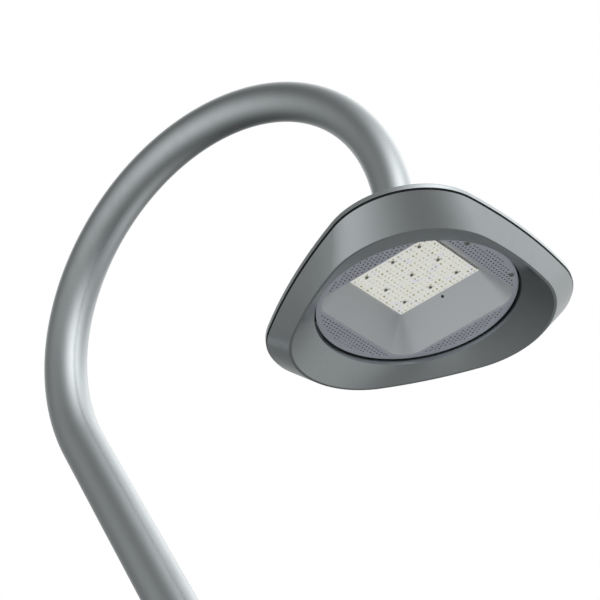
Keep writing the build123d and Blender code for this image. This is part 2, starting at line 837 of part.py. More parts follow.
def recess_face(height, width, length, corner):
    """Rounded rectangle about the recess's middle."""
    with BuildSketch(tray_plane(height)) as mouth:
        with Locations((recess_x, 0)):
            RectangleRounded(width, length, corner)
    return mouth.sketch


window_corner = 4.0
tray_flange = 9.0

lens_pitch_x = lens_length / lens_grid
lens_pitch_y = lens_width / lens_grid
screw_cells = (1, 4, 7)
lens_spots = []
screw_cell_spots = []
for i in range(lens_grid):
    for j in range(lens_grid):
        spot = (recess_x + (i - (lens_grid - 1) / 2) * lens_pitch_x, (j - (lens_grid - 1) / 2) * lens_pitch_y)
        if i in screw_cells and j in screw_cells:
            screw_cell_spots.append(spot)
        else:
            lens_spots.append(spot)

lens_screw_diameter = 3.0
lens_screw_head = 5.4
lens_screw_head_height = 1.6
screw_play = 0.1


def head_points(spots, height):
    """Points of the head's own plane, as places in the post's frame."""
    return [(head_x + x, y, tray_z + height) for x, y in spots]


with BuildPart() as lens_dome:
    with BuildSketch(Plane.XZ):
        with BuildLine():
            ThreePointArc((-lens_radius, 0), (0, -lens_rise), (lens_radius, 0))
            Line((lens_radius, 0), (-lens_radius, 0))
        make_face()
        with Locations((-lens_radius, 0)):
            Rectangle(2 * lens_radius, 4 * lens_rise, mode=Mode.SUBTRACT)
    revolve(axis=Axis.Z)

with BuildPart() as lens_plate:
    extrude(recess_face(lens_height, lens_length, lens_width, 3), amount=lens_thickness)
    with Locations(*head_points(lens_spots, lens_height)):
        add(lens_dome.part)
    with Locations(*head_points(screw_cell_spots, lens_height + lens_thickness / 2)):
        Cylinder(lens_screw_diameter / 2 + screw_play, lens_thickness, mode=Mode.SUBTRACT)
save(lens_plate, "lens_plate")

chip_height = lens_height + lens_thickness
gasket_frame = 3.0
with BuildPart() as lens_gasket:
    extrude(recess_face(chip_height, lens_length, lens_width, 3), amount=chip_thickness)
    inner_frame = (lens_length - 2 * gasket_frame, lens_width - 2 * gasket_frame, 2)
    extrude(recess_face(chip_height, *inner_frame), amount=chip_thickness, mode=Mode.SUBTRACT)
save(lens_gasket, "lens_gasket")

with BuildPart() as led_chips:
    with Locations(*head_points(lens_spots, chip_height + chip_thickness / 2)):
        Box(chip_side, chip_side, chip_thickness)
save(led_chips, "led_chips")

with BuildPart() as led_board:
    extrude(recess_face(chip_height + chip_thickness, lens_length, lens_width, 3), amount=board_thickness)
    with Locations(*head_points(screw_cell_spots, board_top - board_thickness / 2)):
        Cylinder(lens_screw_diameter / 2 + screw_play, board_thickness, mode=Mode.SUBTRACT)
save(led_board, "led_board")

screw_reach = board_top + sink_base - 1.0
with BuildPart() as lens_screws:
    for x, y in screw_cell_spots:
        spot = Plane(origin=(head_x + x, y, tray_z))
        extrude(disc_face(spot.offset(lens_height), lens_screw_head / 2), amount=-lens_screw_head_height)
        extrude(
            disc_face(spot.offset(lens_height), lens_screw_diameter / 2),
            amount=screw_reach - lens_height,
        )
        with BuildSketch(spot.offset(lens_height - lens_screw_head_height)):
            RegularPolygon(1.2, 6)
        extrude(amount=1.0, mode=Mode.SUBTRACT)
save(lens_screws, "lens_screws")

sink_width = window_width + 2 * sink_margin
sink_length = window_length + 2 * sink_margin
with BuildPart() as heat_sink:
    extrude(recess_face(board_top, sink_width, sink_length, 4), amount=sink_base)
    with BuildSketch(tray_plane(board_top + sink_base)):
        with Locations((recess_x, 0)):
            with GridLocations(1, (sink_length - 6) / (fin_count - 1), 1, fin_count):
                Rectangle(sink_width - 6, fin_thickness)
    extrude(amount=fin_height)
    with Locations(*head_points(screw_cell_spots, board_top + sink_base / 2)):
        Cylinder(lens_screw_diameter / 2 + screw_play, sink_base, mode=Mode.SUBTRACT)
save(heat_sink, "heat_sink")

# breather in the recess wall, square to the wall, near the lens plate
vent_height = 43.0
vent_radius = 2.2
wall_rise = board_top - face_thickness
wall_run = (recess_length - window_length) / 2
vent_y = recess_length / 2 - wall_run * (vent_height - face_thickness) / wall_rise
vent_plane = Plane(origin=(head_x + recess_x, vent_y, tray_z + vent_height), z_dir=(0, wall_rise, wall_run))
with BuildPart() as vent_plug:
    extrude(disc_face(vent_plane.offset(-0.5), vent_radius), amount=4.0)
    extrude(disc_face(vent_plane.offset(tray_wall), vent_radius + 1.0), amount=1.5)
save(vent_plug, "vent_plug")

with BuildPart() as recess_tray:
    loft(
        [
            recess_face(
                face_thickness,
                recess_width + 2 * tray_wall,
                recess_length + 2 * tray_wall,
                recess_corner + tray_wall,
            ),
            recess_face(
                board_top,
                window_width + 2 * tray_wall,
                window_length + 2 * tray_wall,
                window_corner + tray_wall,
            ),
        ],
        ruled=True,
    )
    mouth_flange = 4.0
    flange_size = (
        recess_width + 2 * mouth_flange,
        recess_length + 2 * mouth_flange,
        recess_corner + mouth_flange,
    )
    extrude(recess_face(face_thickness, *flange_size), amount=tray_wall)
    top_flange = (
        window_width + 2 * tray_flange,
        window_length + 2 * tray_flange,
        window_corner + tray_flange,
    )
    extrude(recess_face(board_top - tray_wall, *top_flange), amount=tray_wall)
    loft(
        [
            recess_face(face_thickness, recess_width, recess_length, recess_corner),
            recess_face(board_top, window_width, window_length, window_corner),
        ],
        ruled=True,
        mode=Mode.SUBTRACT,
    )
    extrude(disc_face(vent_plane.offset(-2), vent_radius), amount=8, mode=Mode.SUBTRACT)
    extrude(disc_face(vent_plane.offset(tray_wall), vent_radius + 1.0), amount=4, mode=Mode.SUBTRACT)
save(recess_tray, "recess_tray")

# ================================================================ tray hinge and fasteners
axis_plane = Plane(origin=(head_x + axis_x, 0, tray_z + tray_axis_height), x_dir=(1, 0, 0), z_dir=(0, -1, 0))
moving_half = tray_knuckle
fixed_start = moving_half + running_gap
fixed_end = 2 * tray_knuckle


def axis_barrel(radius, start, end):
    """Round bar on the tray's hinge axis, between two places along it."""
    with BuildPart() as barrel:
        extrude(disc_face(axis_plane.offset(start), radius), amount=end - start)
    return barrel.part


with BuildPart() as tray_hinge_leaf:
    with BuildSketch(tray_plane(face_thickness)):
        with Locations((axis_x + leaf_reach / 2, 0)):
            Rectangle(leaf_reach, 2 * moving_half)
    extrude(amount=1.2)
    add(axis_barrel(tray_barrel / 2, -moving_half, moving_half))
    add(axis_barrel(tray_pin_diameter / 2 + hinge_play, -moving_half, moving_half), mode=Mode.SUBTRACT)
save(tray_hinge_leaf, "tray_hinge_leaf")

bracket_thickness = 2.0
web_thickness = 3.0
with BuildPart() as tray_hinge_bracket:
    with BuildSketch(head_plane(throat_height)):
        Circle(throat_radius + shroud_wall)
        with Locations((axis_x + web_thickness / 2 + throat_radius, 0)):
            Rectangle(2 * throat_radius, 4 * throat_radius, mode=Mode.SUBTRACT)
        with Locations((-throat_radius, 0)):
            Rectangle(2 * throat_radius, 2 * bracket_half, mode=Mode.INTERSECT)
    extrude(amount=bracket_thickness)
    for side in (-1, 1):
        start = min(side * fixed_start, side * fixed_end)
        end = max(side * fixed_start, side * fixed_end)
        add(axis_barrel(tray_barrel / 2, start, end))
        with BuildSketch(axis_plane.offset(start)):
            with Locations((0, (throat_height - face_height - tray_axis_height) / 2)):
                Rectangle(web_thickness, throat_height - face_height - tray_axis_height)
        extrude(amount=end - start)
        add(axis_barrel(tray_pin_diameter / 2, start, end), mode=Mode.SUBTRACT)
save(tray_hinge_bracket, "tray_hinge_bracket")

with BuildPart() as tray_hinge_pin:
    add(axis_barrel(tray_pin_diameter / 2, -fixed_end, fixed_end))
save(tray_hinge_pin, "tray_hinge_pin")

for side, name in ((-1, "turn_fastener_right"), (1, "turn_fastener_left")):
    spot_x, spot_y = polar_point(face_radius - fastener_inset, side * fastener_angle)
    along = (cos(radians(side * fastener_angle + 90)), sin(radians(side * fastener_angle + 90)), 0)
    fastener_plane = Plane(origin=(head_x + spot_x, spot_y, tray_z), x_dir=along, z_dir=(0, 0, 1))
    bar_height = throat_height - face_height + running_gap
    with BuildPart() as turn_fastener:
        extrude(disc_face(fastener_plane.offset(-1.2), fastener_diameter / 2 + 1), amount=1.2)
        extrude(disc_face(fastener_plane, fastener_diameter / 2), amount=bar_height)
        with BuildSketch(fastener_plane.offset(bar_height)):
            with Locations(((turn_bar_length - turn_bar_width / 2) / 2, 0)):
                RectangleRounded(turn_bar_length + turn_bar_width / 2, turn_bar_width, turn_bar_width / 2 - 0.1)
        extrude(amount=turn_bar_thickness)
        with BuildSketch(fastener_plane.offset(-1.2)):
            RegularPolygon(2, 6)
        extrude(amount=2.2, mode=Mode.SUBTRACT)
    save(turn_fastener, name)

# ================================================================ screws and terminals of the head
with BuildPart() as cover_screws:
    for x, y in screw_spots:
        spot = Plane(origin=(head_x + x, y, head_z))
        extrude(disc_face(spot.offset(cap_seat), cap_diameter / 2), amount=cap_height)
        extrude(
            disc_face(spot.offset(parting_height - flange_thickness), cover_screw_diameter / 2),
            amount=cap_seat - parting_height + flange_thickness,
        )
        with BuildSketch(spot.offset(cap_seat + cap_height)):
            RegularPolygon(1.8, 6)
        extrude(amount=-2, mode=Mode.SUBTRACT)
save(cover_screws, "cover_screws")

with BuildPart() as head_set_screws:
    for turn in set_screw_turns:
        collar_plane = Plane(
            origin=(head_x, 0, head_z),
            z_dir=(cos(radians(turn)), sin(radians(turn)), 0),
            x_dir=(0, 0, 1),
        )
        with BuildSketch(collar_plane.offset(spigot_diameter / 2)):
            with Locations(*[(height, 0) for height in head_screw_heights]):
                Circle(set_screw_diameter / 2 - 0.05)
                RegularPolygon(set_screw_diameter * 0.29, 6, mode=Mode.SUBTRACT)
        extrude(amount=collar_radius - 1 - spigot_diameter / 2)
save(head_set_screws, "head_set_screws")

terminal_height = 74.0
block_top = neck_tip_height - 2.0
with BuildPart() as terminal_plate:
    with BuildSketch(head_plane(terminal_height - 2)):
        RectangleRounded(28, 116, 4)
    extrude(amount=2)
    for y in (-48, 48):
        with BuildSketch(head_plane(terminal_height)):
            with Locations((0, y)):
                Circle(4)
        extrude(amount=dome_top_height - cover_wall - terminal_height)
save(terminal_plate, "terminal_plate")

with BuildPart() as head_terminals:
    with BuildSketch(head_plane(terminal_height)):
        RectangleRounded(22, 46, 1)
    extrude(amount=block_top - terminal_height)
    for y in (-16, 16):
        with BuildSketch(head_plane(block_top)):
            with Locations((0, y)):
                Circle(3)
        extrude(amount=-4, mode=Mode.SUBTRACT)
save(head_terminals, "head_terminals")

with BuildPart() as supply_cable:
    with BuildLine(Plane.XZ):
        Line((0, terminal_top), (0, bend_foot_z))
        CenterArc((-lower_bend_radius, bend_foot_z), lower_bend_radius, 0, neck_lean)
        Line((neck_foot.X, neck_foot.Z), (neck_top.X, neck_top.Z))
        CenterArc((crook_x, crook_z), crook_radius, crook_sweep, -crook_sweep)
        Line((head_x, crook_z), (head_x, head_z + block_top))
    with BuildSketch(Plane.XY.offset(terminal_top)):
        Circle(cable_diameter / 2)
    sweep()
save(supply_cable, "supply_cable")
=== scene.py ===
import math

import bpy
import numpy as np
from mathutils import Matrix, Vector


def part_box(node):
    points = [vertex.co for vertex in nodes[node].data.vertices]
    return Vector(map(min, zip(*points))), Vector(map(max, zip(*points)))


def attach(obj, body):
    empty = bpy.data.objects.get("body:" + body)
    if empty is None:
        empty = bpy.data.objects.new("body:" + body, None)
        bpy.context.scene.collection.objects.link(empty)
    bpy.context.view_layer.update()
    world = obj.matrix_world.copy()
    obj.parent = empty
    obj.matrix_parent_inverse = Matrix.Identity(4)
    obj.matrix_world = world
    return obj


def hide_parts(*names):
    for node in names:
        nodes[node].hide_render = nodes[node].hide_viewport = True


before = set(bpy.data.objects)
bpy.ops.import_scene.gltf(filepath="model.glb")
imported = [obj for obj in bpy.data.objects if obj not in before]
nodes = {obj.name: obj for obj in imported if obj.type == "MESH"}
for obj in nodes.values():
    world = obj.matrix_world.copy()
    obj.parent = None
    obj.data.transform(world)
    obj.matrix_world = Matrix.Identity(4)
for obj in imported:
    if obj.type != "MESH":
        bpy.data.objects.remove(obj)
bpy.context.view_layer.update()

# %% [markdown]
# # A street lamp post with a swan neck
#
# The object is a painted steel post, four metres high. Its neck leans back, turns over in a
# wide crook and carries a head with three rounded corners. Under the head a funnel leads to a
# round perforated plate, and a deep recess in that plate holds the light-emitting board.
#
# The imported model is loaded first. It gives every part its place, so nothing is fitted here:
# positions come from the boxes of the nodes. One point is used all the way through: the middle
# of the circle where the funnel meets the throat, which is a known depth above the lower rim.

# %% The frame and where the head is
MM = 0.001
RIM_DEPTH = 18.5 * MM
plate_low, plate_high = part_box("perforated_plate")
shroud_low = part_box("shroud")[0]
head = np.array([(plate_low.x + plate_high.x) / 2, 0.0, shroud_low.z + RIM_DEPTH])

# %% [markdown]
# ## The camera
#
# A passer-by stands in front of the lamp, a little to one side, and looks up at the head with a
# long lens. The picture is tilted, as happens with a camera held in the hand: the camera's top
# leans to its right. A matrix made of three directions (right, up and backwards) says all of
# this at once, which is easier to read than three angles.

# %% Camera from a place, a direction and a tilt
LENS = 126.0
SENSOR = 36.0
AZIMUTH = math.radians(122.08)
RISE = math.radians(34.87)
TILT = math.radians(10.83)
EYE = head + np.array([1.1703, -2.1751, -1.6705])

level_forward = np.array([math.cos(AZIMUTH), math.sin(AZIMUTH), 0.0])
forward = math.cos(RISE) * level_forward + math.sin(RISE) * np.array([0.0, 0.0, 1.0])
level_right = np.cross(forward, [0.0, 0.0, 1.0])
level_right /= np.linalg.norm(level_right)
level_up = np.cross(level_right, forward)
up = level_up * math.cos(TILT) + level_right * math.sin(TILT)
right = np.cross(forward, up)
turn = Matrix(np.stack([right, up, -forward], axis=1).tolist())

camera_data = bpy.data.cameras.new("camera")
camera_data.lens = LENS
camera_data.sensor_width = SENSOR
camera_data.clip_end = 50.0
camera = bpy.data.objects.new("camera", camera_data)
camera.matrix_world = Matrix.Translation(Vector(EYE)) @ turn.to_4x4()
bpy.context.scene.collection.objects.link(camera)
bpy.context.scene.camera = camera
print("camera at", EYE.round(3), "looking", forward.round(3))

# %% [markdown]
# ## From a grid of points to a surface
#
# Every new piece is a function of two parameters, worked out for a whole grid of points at
# once. One helper turns such a grid into a mesh. A grid can close on itself in either
# direction, as a tube does round its middle, and an open end can get a flat lid.


# %% Grid helper
def surface(name, points, wrap_rows=False, wrap_columns=True, lids=(False, False), crease=35.0):
    """Mesh of a grid of points, rows by columns by xyz. Each face joins a point, the next one in
    its row and the two below them; a wrapped direction joins the last points to the first."""
    rows, columns = points.shape[:2]
    index = np.arange(rows * columns).reshape(rows, columns)
    if wrap_rows:
        index = np.vstack([index, index[:1]])
    if wrap_columns:
        index = np.hstack([index, index[:, :1]])
    corners = [index[:-1, :-1], index[:-1, 1:], index[1:, 1:], index[1:, :-1]]
    quads = np.stack(corners, axis=-1).reshape(-1, 4)
    loops = [quads.ravel()]
    sizes = [np.full(len(quads), 4)]
    ring = np.arange(columns)
    if lids[0]:
        loops.append(ring[::-1])
        sizes.append([columns])
    if lids[1]:
        loops.append(ring + (rows - 1) * columns)
        sizes.append([columns])
    loops = np.concatenate(loops).astype(np.int32)
    sizes = np.concatenate(sizes).astype(np.int32)
    mesh = bpy.data.meshes.new(name)
    mesh.vertices.add(rows * columns)
    mesh.vertices.foreach_set("co", points.reshape(-1).astype(np.float32))
    mesh.loops.add(len(loops))
    mesh.loops.foreach_set("vertex_index", loops)
    mesh.polygons.add(len(sizes))
    mesh.polygons.foreach_set("loop_start", np.concatenate([[0], np.cumsum(sizes)[:-1]]).astype(np.int32))
    mesh.update(calc_edges=True)
    mesh.validate()
    mesh.shade_smooth()
    mesh.set_sharp_from_angle(angle=math.radians(crease))
    piece = bpy.data.objects.new(name, mesh)
    bpy.context.scene.collection.objects.link(piece)
    print(name, rows, "rows", columns, "columns", len(sizes), "faces")
    return piece


def stands_for(piece, body, slot, material, *replaced):
    """Puts a piece on a body, in a finish, in place of the nodes that it stands for."""
    piece.data.materials.clear()
    piece.data.materials.append(material)
    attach(piece, body)
    if replaced:
        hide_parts(*replaced)
    return piece


# %% [markdown]
# ## Shared effects as node groups
#
# Several finishes show the same effects: the mottle of a sprayed or powder-coated surface, rain
# marks and dust, the fine grain of moulded plastic, the lay of rolled metal. Each effect is one
# node group with its own inputs, so it is built once and every finish places it with its own
# values. A group gives out only colours, values and heights that vary over the surface; the
# shader stays in the material.


# %% Node helpers
def new_group(name, inputs, outputs):
    """Empty group with float or colour inputs and outputs, given as (name, type, value)."""
    group = bpy.data.node_groups.new(name, "ShaderNodeTree")
    kinds = {"float": "NodeSocketFloat", "colour": "NodeSocketColor"}
    for label, kind, value in inputs:
        socket = group.interface.new_socket(label, in_out="INPUT", socket_type=kinds[kind])
        socket.default_value = value
    for label, kind in outputs:
        group.interface.new_socket(label, in_out="OUTPUT", socket_type=kinds[kind])
    return group, group.nodes.new("NodeGroupInput"), group.nodes.new("NodeGroupOutput")


def math_node(tree, operation, first, second=None, third=None, clamp=False):
    """One Math node; each of its inputs is a socket or a number."""
    node = tree.nodes.new("ShaderNodeMath")
    node.operation = operation
    node.use_clamp = clamp
    for socket, value in zip(node.inputs, (first, second, third)):
        if value is None:
            continue
        if isinstance(value, (int, float)):
            socket.default_value = value
        else:
            tree.links.new(value, socket)
    return node.outputs[0]


def mix_colour(tree, amount, first, second, blend="MIX"):
    """One Mix node on colours."""
    node = tree.nodes.new("ShaderNodeMix")
    node.data_type = "RGBA"
    node.blend_type = blend
    sockets = [node.inputs[0], node.inputs[6], node.inputs[7]]
    for socket, value in zip(sockets, (amount, first, second)):
        if isinstance(value, (int, float, tuple)):
            socket.default_value = value
        else:
            tree.links.new(value, socket)
    return node.outputs[2]


def place(tree, stretch=(1.0, 1.0, 1.0)):
    """Object coordinates in metres, stretched by a Mapping node."""
    coordinates = tree.nodes.new("ShaderNodeTexCoord")
    mapping = tree.nodes.new("ShaderNodeMapping")
    mapping.inputs["Scale"].default_value = stretch
    tree.links.new(coordinates.outputs["Object"], mapping.inputs["Vector"])
    return mapping.outputs["Vector"]


def noise(tree, vector, scale, detail=2.0, roughness=0.5):
    """Noise value between 0 and 1."""
    node = tree.nodes.new("ShaderNodeTexNoise")
    node.inputs["Detail"].default_value = detail
    node.inputs["Roughness"].default_value = roughness
    tree.links.new(vector, node.inputs["Vector"])
    if isinstance(scale, (int, float)):
        node.inputs["Scale"].default_value = scale
    else:
        tree.links.new(scale, node.inputs["Scale"])
    return node.outputs["Fac"]


def remap(tree, value, low, high, out_low=0.0, out_high=1.0):
    """Straight line from low..high to out_low..out_high, kept between them."""
    node = tree.nodes.new("ShaderNodeMapRange")
    ends = {"From Min": low, "From Max": high, "To Min": out_low, "To Max": out_high}
    for label, number in ends.items():
        node.inputs[label].default_value = number
    tree.links.new(value, node.inputs["Value"])
    return node.outputs["Result"]


def grey_colour(tree, value):
    """Colour whose three channels are all the same value."""
    node = tree.nodes.new("ShaderNodeCombineColor")
    for channel in range(3):
        tree.links.new(value, node.inputs[channel])
    return node.outputs[0]


def about_half(tree, value, amount, middle=1.0):
    """Swings round a middle value: middle plus amount times (value minus a half)."""
    return math_node(tree, "MULTIPLY_ADD", math_node(tree, "SUBTRACT", value, 0.5), amount, middle)


# %% Coating: mottle, flake and orange peel of sprayed or powder-coated metal
coating, coating_in, coating_out = new_group(
    "coating",
    [("Colour", "colour", (0.4, 0.4, 0.4, 1.0)), ("Mottle", "float", 0.06), ("Flake", "float", 0.08),
     ("Roughness", "float", 0.4)],
    [("Colour", "colour"), ("Roughness", "float"), ("Height", "float")],
)
wide = noise(coating, place(coating), 9.0, 3.0)
fine = noise(coating, place(coating), 1600.0, 1.0)
peel = noise(coating, place(coating), 420.0, 2.0)
wide_part = about_half(coating, wide, coating_in.outputs["Mottle"])
shade = about_half(coating, fine, coating_in.outputs["Flake"], wide_part)
coated = mix_colour(coating, 1.0, coating_in.outputs["Colour"], grey_colour(coating, shade), "MULTIPLY")
coating.links.new(coated, coating_out.inputs["Colour"])
rough_shift = about_half(coating, wide, 0.12, 0.0)
rough = math_node(coating, "ADD", coating_in.outputs["Roughness"], rough_shift, clamp=True)
coating.links.new(rough, coating_out.inputs["Roughness"])
height = math_node(coating, "MULTIPLY_ADD", peel, 0.8, math_node(coating, "MULTIPLY", fine, 0.2))
coating.links.new(height, coating_out.inputs["Height"])
print("group", coating.name, len(coating.nodes), "nodes")

# %% Weather: rain marks that run down, dust that settles on faces turned up
weather, weather_in, weather_out = new_group(
    "weather",
    [("Colour", "colour", (0.4, 0.4, 0.4, 1.0)), ("Dust", "float", 0.2), ("Marks", "float", 0.1),
     ("Roughness", "float", 0.4)],
    [("Colour", "colour"), ("Roughness", "float")],
)
geometry = weather.nodes.new("ShaderNodeNewGeometry")
split = weather.nodes.new("ShaderNodeSeparateXYZ")
weather.links.new(geometry.outputs["Normal"], split.inputs[0])
facing_up = remap(weather, split.outputs["Z"], 0.55, 1.0)
speckle = remap(weather, noise(weather, place(weather), 55.0, 4.0, 0.65), 0.35, 0.7)
dust_mask = math_node(weather, "MULTIPLY", math_node(weather, "MULTIPLY", facing_up, speckle),
                      weather_in.outputs["Dust"])
runs = remap(weather, noise(weather, place(weather, (1.0, 1.0, 0.06)), 60.0, 3.0), 0.5, 0.85)
run_mask = math_node(weather, "MULTIPLY", runs, weather_in.outputs["Marks"])
darker = mix_colour(weather, run_mask, weather_in.outputs["Colour"], (0.16, 0.16, 0.15, 1.0))
dusty = mix_colour(weather, dust_mask, darker, (0.46, 0.44, 0.40, 1.0))
weather.links.new(dusty, weather_out.inputs["Colour"])
dull = math_node(weather, "MULTIPLY", math_node(weather, "ADD", dust_mask, run_mask), 0.35)
weather.links.new(math_node(weather, "ADD", weather_in.outputs["Roughness"], dull, clamp=True),
                  weather_out.inputs["Roughness"])
print("group", weather.name, len(weather.nodes), "nodes")

# %% Grain: fine texture and cloudy tone of moulded plastic and rubber
grain, grain_in, grain_out = new_group(
    "grain",
    [("Colour", "colour", (0.4, 0.4, 0.4, 1.0)), ("Size", "float", 900.0), ("Tone", "float", 0.12),
     ("Roughness", "float", 0.5)],
    [("Colour", "colour"), ("Roughness", "float"), ("Height", "float")],
)
pits = noise(grain, place(grain), grain_in.outputs["Size"], 2.0, 0.6)
cloud = noise(grain, place(grain), 35.0, 3.0)
tone = about_half(grain, cloud, grain_in.outputs["Tone"])
toned = mix_colour(grain, 1.0, grain_in.outputs["Colour"], grey_colour(grain, tone), "MULTIPLY")
grain.links.new(toned, grain_out.inputs["Colour"])
grain.links.new(math_node(grain, "MULTIPLY_ADD", pits, 0.15, grain_in.outputs["Roughness"], clamp=True),
                grain_out.inputs["Roughness"])
grain.links.new(pits, grain_out.inputs["Height"])
print("group", grain.name, len(grain.nodes), "nodes")

# %% Spangle: crystals of hot-dip zinc, and the lay of bare rolled or drawn metal
spangle, spangle_in, spangle_out = new_group(
    "spangle",
    [("Colour", "colour", (0.5, 0.5, 0.5, 1.0)), ("Size", "float", 120.0), ("Contrast", "float", 0.25),
     ("Roughness", "float", 0.4)],
    [("Colour", "colour"), ("Roughness", "float"), ("Height", "float")],
)
crystal = spangle.nodes.new("ShaderNodeTexVoronoi")
spangle.links.new(place(spangle), crystal.inputs["Vector"])
spangle.links.new(spangle_in.outputs["Size"], crystal.inputs["Scale"])
grey = spangle.nodes.new("ShaderNodeSeparateColor")
spangle.links.new(crystal.outputs["Color"], grey.inputs[0])
lay = noise(spangle, place(spangle, (1.0, 12.0, 1.0)), 300.0, 2.0)
both = math_node(spangle, "MULTIPLY_ADD", lay, 0.4, math_node(spangle, "MULTIPLY", grey.outputs[0], 0.6))
level = about_half(spangle, both, spangle_in.outputs["Contrast"])
shaded = mix_colour(spangle, 1.0, spangle_in.outputs["Colour"], grey_colour(spangle, level), "MULTIPLY")
spangle.links.new(shaded, spangle_out.inputs["Colour"])
worn_rough = math_node(spangle, "MULTIPLY_ADD", both, 0.25, spangle_in.outputs["Roughness"], clamp=True)
spangle.links.new(worn_rough, spangle_out.inputs["Roughness"])
spangle.links.new(both, spangle_out.inputs["Height"])
print("group", spangle.name, len(spangle.nodes), "nodes")

# %% [markdown]
# ## Finishes
#
# One function builds a finish from an effect group: it places the group with the finish's own
# colour and values, runs a painted finish through the weather group, and turns the group's
# height into a bump. Everything that is the same all over the surface, such as how metallic it
# is, is set on the shader's own socket.


# %% Finish helper
def place_group(tree, group, values):
    """A group's node with its inputs set."""
    node = tree.nodes.new("ShaderNodeGroup")
    node.node_tree = group
    for label, value in values.items():
        node.inputs[label].default_value = value
    return node


def finish(name, group, values, bump=0.05, depth=0.2 * MM, weathered=None, metallic=0.0):
    """Material: effect group, then weather if asked for, into one Principled shader."""
    material = bpy.data.materials.new(name)
    material.use_nodes = True
    tree = material.node_tree
    principled = tree.nodes["Principled BSDF"]
    principled.inputs["Metallic"].default_value = metallic
    effect = place_group(tree, group, values)
    colour, roughness = effect.outputs["Colour"], effect.outputs["Roughness"]
    if weathered:
        worn = place_group(tree, weather, weathered)
        tree.links.new(colour, worn.inputs["Colour"])
        tree.links.new(roughness, worn.inputs["Roughness"])
        colour, roughness = worn.outputs["Colour"], worn.outputs["Roughness"]
    tree.links.new(colour, principled.inputs["Base Color"])
    tree.links.new(roughness, principled.inputs["Roughness"])
    ridge = tree.nodes.new("ShaderNodeBump")
    ridge.inputs["Strength"].default_value = bump
    ridge.inputs["Distance"].default_value = depth
    tree.links.new(effect.outputs["Height"], ridge.inputs["Height"])
    tree.links.new(ridge.outputs["Normal"], principled.inputs["Normal"])
    return material


def tint(red, green, blue):
    """Colour with its alpha."""
    return (red, green, blue, 1.0)


# %% Paints
post_paint = finish("post_paint", coating, {"Colour": tint(0.45, 0.485, 0.495), "Roughness": 0.30},
                    weathered={"Dust": 0.25, "Marks": 0.10}, metallic=0.9)
head_paint = finish("head_paint", coating, {"Colour": tint(0.43, 0.465, 0.475), "Roughness": 0.29},
                    weathered={"Dust": 0.35, "Marks": 0.08}, metallic=0.9)
plate_paint = finish("plate_paint", coating, {"Colour": tint(0.72, 0.75, 0.83), "Roughness": 0.45},
                     metallic=0.5)
tray_paint = finish("tray_paint", coating, {"Colour": tint(0.66, 0.69, 0.71), "Roughness": 0.5},
                    metallic=0.4)
housing_white = finish("housing_white", grain, {"Colour": tint(0.78, 0.78, 0.75), "Roughness": 0.4})
housing_grey = finish("housing_grey", grain, {"Colour": tint(0.25, 0.26, 0.27), "Roughness": 0.45})

# %% Rubber, cable and terminals
seal_rubber = finish("seal_rubber", grain, {"Colour": tint(0.03, 0.03, 0.032), "Roughness": 0.65},
                     bump=0.2)
cable_sheath = finish("cable_sheath", grain, {"Colour": tint(0.05, 0.05, 0.052), "Roughness": 0.5,
                                              "Size": 500.0})
terminal_block = finish("terminal_block", grain, {"Colour": tint(0.72, 0.70, 0.62), "Roughness": 0.45})

# %% Bare metals
steel = finish("steel", spangle, {"Colour": tint(0.46, 0.46, 0.45), "Size": 2500.0, "Contrast": 0.2,
                                  "Roughness": 0.22}, metallic=1.0)
zinc = finish("zinc", spangle, {"Colour": tint(0.52, 0.54, 0.55), "Size": 110.0, "Contrast": 0.35,
                                "Roughness": 0.35}, metallic=1.0)
sink_aluminium = finish("sink_aluminium", spangle, {"Colour": tint(0.62, 0.63, 0.64), "Size": 2000.0,
                                                    "Contrast": 0.15, "Roughness": 0.35}, metallic=1.0)

# %% Board and chips
board_white = finish("board_white", grain, {"Colour": tint(0.82, 0.82, 0.79), "Roughness": 0.35,
                                            "Size": 1500.0})
chip_yellow = finish("chip_yellow", grain, {"Colour": tint(0.78, 0.62, 0.12), "Roughness": 0.5,
                                            "Size": 2500.0})
print("finishes", len(bpy.data.materials))

# %% [markdown]
# ## The lens plate's finish
#
# The lens plate is clear moulded plastic over a white board. Each lens gathers the light of one
# yellow chip, so from the street the plate is cream white with small olive marks, four in
# each cell. Here the marks come from the distance to the nearest lens axis: a Wrap node folds
# Object coordinates back into one cell of the grid of lenses. Lilac-white patches from noise are a
# painted reflection of the surround in the clear lenses.

# %% Lens pattern group
LENS_CELLS = 9
MARK_OUT = 3.5 * MM
MARK_RADIUS = 1.7 * MM
MARK_OUTER = 1.35
MARK_INNER = 0.65
FAINTEST = 0.15
lens_low, lens_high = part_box("lens_plate")
lens_middle = (lens_low + lens_high) / 2
cell_x = (lens_high.x - lens_low.x) / LENS_CELLS
cell_y = (lens_high.y - lens_low.y) / LENS_CELLS
lens_marks, marks_in, marks_out = new_group(
    "lens_marks",
    [("Plastic", "colour", tint(0.8, 0.8, 0.76)), ("Mark", "colour", tint(0.3, 0.3, 0.15))],
    [("Colour", "colour"), ("Roughness", "float")],
)
spot = lens_marks.nodes.new("ShaderNodeSeparateXYZ")
lens_marks.links.new(place(lens_marks), spot.inputs[0])


def fold(axis, middle, cell):
    """Coordinate inside its cell: minus half a cell to half a cell, nought on the lens axis."""
    centred = math_node(lens_marks, "SUBTRACT", spot.outputs[axis], middle)
    return math_node(lens_marks, "WRAP", centred, cell / 2, -cell / 2)


across = fold("X", lens_middle.x, cell_x)
along = fold("Y", lens_middle.y, cell_y)


